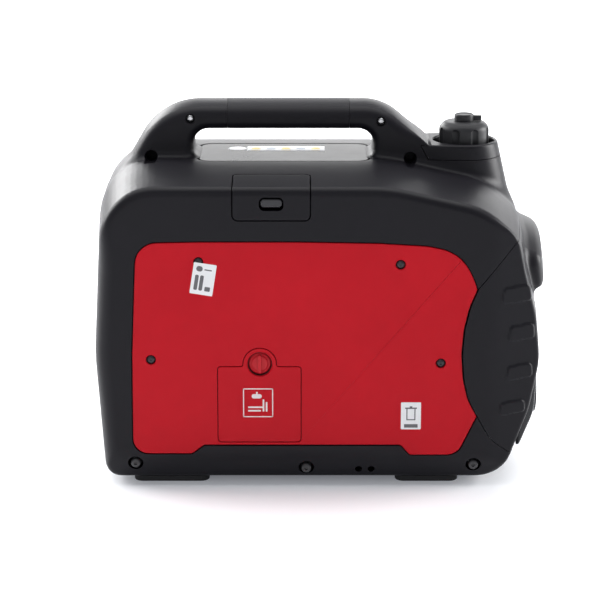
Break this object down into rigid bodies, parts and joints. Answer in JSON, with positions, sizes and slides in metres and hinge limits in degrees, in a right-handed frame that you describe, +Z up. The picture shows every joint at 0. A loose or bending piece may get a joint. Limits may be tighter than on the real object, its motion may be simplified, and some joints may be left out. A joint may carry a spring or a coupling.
{
  "type": "portable inverter generator",
  "caption": "Suitcase-shaped petrol inverter generator with carrying handle, red service panels, fuel cap and control panel.",
  "frame": {"origin": "on the floor, under the middle of the bounding box", "axes": "+X towards the control panel, -Y towards the service side, +Z up"},
  "size_m": [0.504, 0.29, 0.41],
  "materials": {
    "black_plastic": "satin moulded charcoal plastic, finely grained",
    "red_plastic": "smooth semi-gloss red plastic",
    "gloss_black": "smooth dark glossy plastic",
    "rubber": "matte black rubber",
    "steel": "plain and zinc-plated steel",
    "cast_alloy": "cast aluminium, as cast",
    "copper": "enamelled copper windings on laminations",
    "ceramic": "glazed white insulator",
    "lens": "green and amber indicator lenses",
    "cord": "braided nylon starter rope"
  },
  "bodies": {
    "casing": {"side_shell_left": "black_plastic", "side_shell_right": "black_plastic", "deck_plate": "gloss_black", "handle_grip": "black_plastic", "base_tray": "black_plastic", "foot_rear_left": "rubber", "foot_front_left": "rubber", "foot_rear_right": "rubber", "foot_front_right": "rubber", "rear_grille": "black_plastic", "end_cover": "black_plastic", "control_panel": "gloss_black", "ac_socket_1": "gloss_black", "ac_socket_2": "gloss_black", "dc_socket": "gloss_black", "indicator_lamps": "lens", "earth_terminal": "steel", "side_panel_left": "red_plastic", "side_panel_right": "red_plastic", "panel_screw_1": "steel", "panel_screw_2": "steel", "panel_screw_3": "steel", "panel_screw_4": "steel", "handle_screw_1": "steel", "handle_screw_2": "steel", "starter_rope": "cord", "recoil_housing": "black_plastic", "filler_collar": "black_plastic", "fuel_tank": "black_plastic", "crankcase": "cast_alloy", "cylinder_head": "cast_alloy", "spark_plug": "ceramic", "spark_plug_boot": "rubber", "stator": "copper", "muffler": "steel", "exhaust_outlet": "steel", "carburettor": "cast_alloy", "air_cleaner": "black_plastic", "inverter_module": "cast_alloy", "ignition_module": "rubber"},
    "service_door": {"service_door": "red_plastic"},
    "door_knob": {"service_door_knob": "red_plastic"},
    "plug_cover": {"plug_cover": "black_plastic"},
    "plug_latch": {"plug_cover_latch": "black_plastic"},
    "cap_seal": {"fuel_cap_seal": "rubber"},
    "fuel_cap": {"fuel_cap": "black_plastic"},
    "vent_lever": {"vent_lever": "black_plastic"},
    "crank": {"crankshaft": "steel", "rotor": "steel"},
    "piston": {"piston": "cast_alloy"},
    "connecting_rod": {"connecting_rod": "steel"},
    "recoil_pulley": {"recoil_pulley": "cast_alloy"},
    "recoil_grip": {"recoil_grip": "rubber"},
    "engine_switch": {"engine_switch": "gloss_black"},
    "oil_filler_cap": {"oil_filler_cap": "gloss_black"},
    "socket_lid_1": {"socket_lid_1": "gloss_black"},
    "socket_lid_2": {"socket_lid_2": "gloss_black"},
    "breaker_button": {"breaker_button": "red_plastic"},
    "economy_switch": {"economy_switch": "gloss_black"}
  },
  "joints": [
    {"name": "service_door_hinge", "type": "hinge", "parent": "casing", "child": "service_door", "pos_m": [-0.0665, -0.1435, 0.052], "axis": [1, 0, 0], "range_deg": [0, 80]},
    {"name": "door_knob_turn", "type": "hinge", "parent": "service_door", "child": "door_knob", "pos_m": [-0.066, -0.14, 0.141], "axis": [0, 1, 0], "range_deg": [0, 90]},
    {"name": "plug_cover_hinge", "type": "hinge", "parent": "casing", "child": "plug_cover", "pos_m": [-0.053, -0.1, 0.3442], "axis": [-1, 0, 0], "range_deg": [0, 80]},
    {"name": "plug_latch_slide", "type": "slide", "parent": "plug_cover", "child": "plug_latch", "axis": [0, 0, -1], "range_m": [0, 0.0025], "stiffness_N_per_m": 400, "springref_m": -0.001},
    {"name": "cap_lift", "type": "slide", "parent": "casing", "child": "cap_seal", "axis": [0, 0, 1], "range_m": [0, 0.003]},
    {"name": "cap_turn", "type": "hinge", "parent": "cap_seal", "child": "fuel_cap", "pos_m": [0.1627, 0, 0.37], "axis": [0, 0, 1], "range_deg": [0, 361]},
    {"name": "vent_lever_turn", "type": "hinge", "parent": "fuel_cap", "child": "vent_lever", "pos_m": [0.1627, 0, 0.387], "axis": [0, 0, 1], "range_deg": [0, 90]},
    {"name": "crank_spin", "type": "hinge", "parent": "casing", "child": "crank", "pos_m": [0, 0.012, 0.122], "axis": [1, 0, 0], "continuous": true},
    {"name": "piston_stroke", "type": "slide", "parent": "casing", "child": "piston", "axis": [0, 0.4067, -0.9135], "range_m": [0, 0.042]},
    {"name": "connecting_rod_swing", "type": "hinge", "parent": "piston", "child": "connecting_rod", "pos_m": [-0.053, -0.02542, 0.20605], "axis": [1, 0, 0], "range_deg": [-17, 17]},
    {"name": "recoil_pull", "type": "slide", "parent": "casing", "child": "recoil_grip", "axis": [0, 1, 0], "range_m": [0, 0.6], "stiffness_N_per_m": 15, "springref_m": -0.4},
    {"name": "recoil_pulley_spin", "type": "hinge", "parent": "casing", "child": "recoil_pulley", "pos_m": [0.06, 0.012, 0.122], "axis": [-1, 0, 0], "range_deg": [0, 860]},
    {"name": "engine_switch_turn", "type": "hinge", "parent": "casing", "child": "engine_switch", "pos_m": [-0.08, 0.13, 0.104], "axis": [0, 1, 0], "range_deg": [0, 90]},
    {"name": "oil_cap_turn", "type": "hinge", "parent": "casing", "child": "oil_filler_cap", "pos_m": [-0.066, -0.05, 0.069], "axis": [0, -1, 0], "range_deg": [0, 360]},
    {"name": "socket_lid_1_hinge", "type": "hinge", "parent": "casing", "child": "socket_lid_1", "pos_m": [0.2425, -0.046, 0.115], "axis": [0, -1, 0], "range_deg": [0, 90], "stiffness_Nm_per_rad": 0.008, "springref_deg": -34.38},
    {"name": "socket_lid_2_hinge", "type": "hinge", "parent": "casing", "child": "socket_lid_2", "pos_m": [0.2425, 0.046, 0.115], "axis": [0, -1, 0], "range_deg": [0, 90], "stiffness_Nm_per_rad": 0.008, "springref_deg": -34.38},
    {"name": "breaker_press", "type": "slide", "parent": "casing", "child": "breaker_button", "axis": [-1, 0, 0], "range_m": [0, 0.0015], "stiffness_N_per_m": 600, "springref_m": -0.001},
    {"name": "economy_switch_rock", "type": "hinge", "parent": "casing", "child": "economy_switch", "pos_m": [0.233, -0.062, 0.181], "axis": [0, 1, 0], "range_deg": [-8, 8]}
  ],
  "couplings": [
    {"joint": "cap_turn", "follows": "cap_lift", "rad_per_m": 2094.4},
    {"joint": "recoil_pulley_spin", "follows": "recoil_pull", "rad_per_m": 25}
  ]
}
